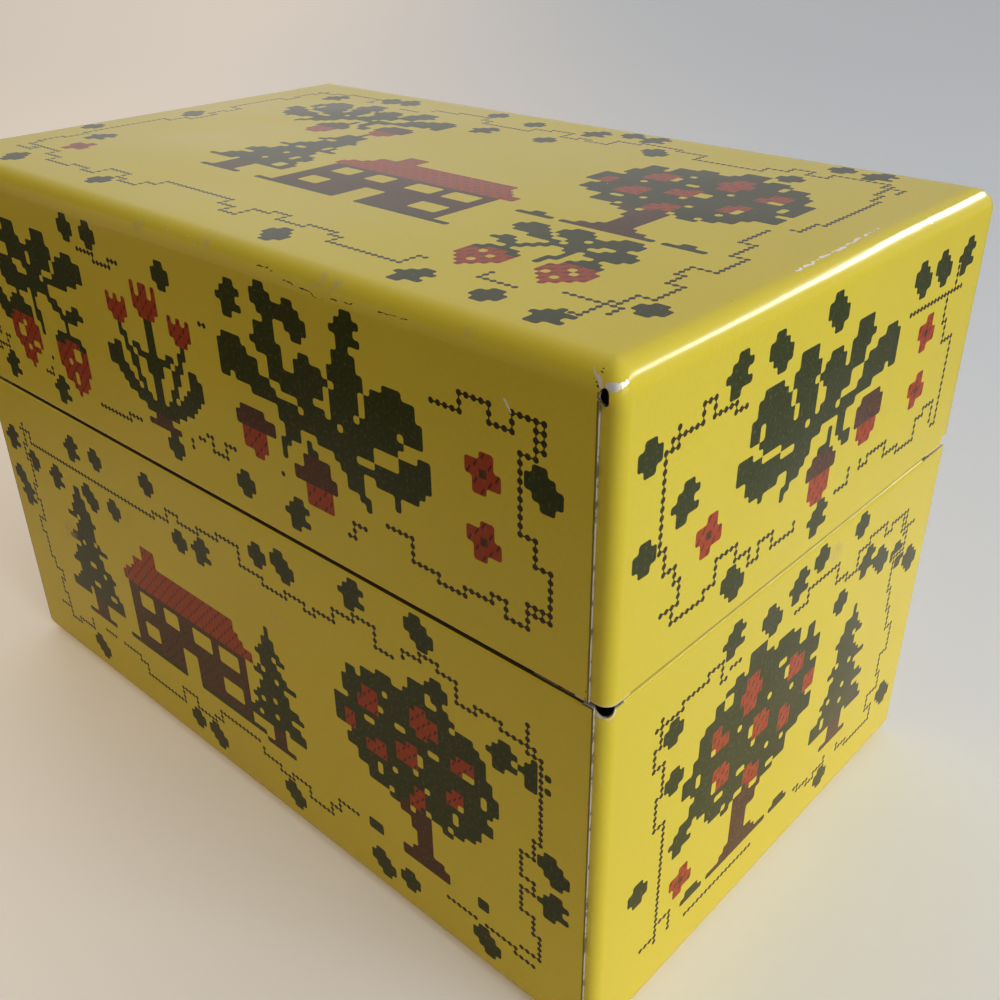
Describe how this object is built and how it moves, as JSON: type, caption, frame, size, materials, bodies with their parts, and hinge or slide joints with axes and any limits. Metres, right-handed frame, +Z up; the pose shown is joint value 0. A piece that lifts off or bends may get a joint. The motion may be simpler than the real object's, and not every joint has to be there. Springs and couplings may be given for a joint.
{
  "type": "recipe card box",
  "caption": "Hinged tinplate recipe card box: a folded base with a stepped neck, a deep folded lid and a wire hinge along the back.",
  "frame": {"origin": "middle of the bottom face, on the surface that the box stands on", "axes": "+X along the long front, towards the box's right end seen from the front; +Y from the front to the hinge at the back; +Z up"},
  "size_m": [0.136, 0.082, 0.092],
  "materials": {
    "base_tinplate": "gloss",
    "lid_tinplate": "gloss",
    "wire": "drawn"
  },
  "bodies": {
    "base": {"base_shell": "base_tinplate", "hinge_wire": "wire"},
    "lid": {"lid_shell": "lid_tinplate"}
  },
  "joints": [
    {"name": "lid_hinge", "type": "hinge", "parent": "base", "child": "lid", "pos_m": [0, 0.03987, 0.055], "axis": [-1, 0, 0], "range_deg": [0, 105]}
  ]
}
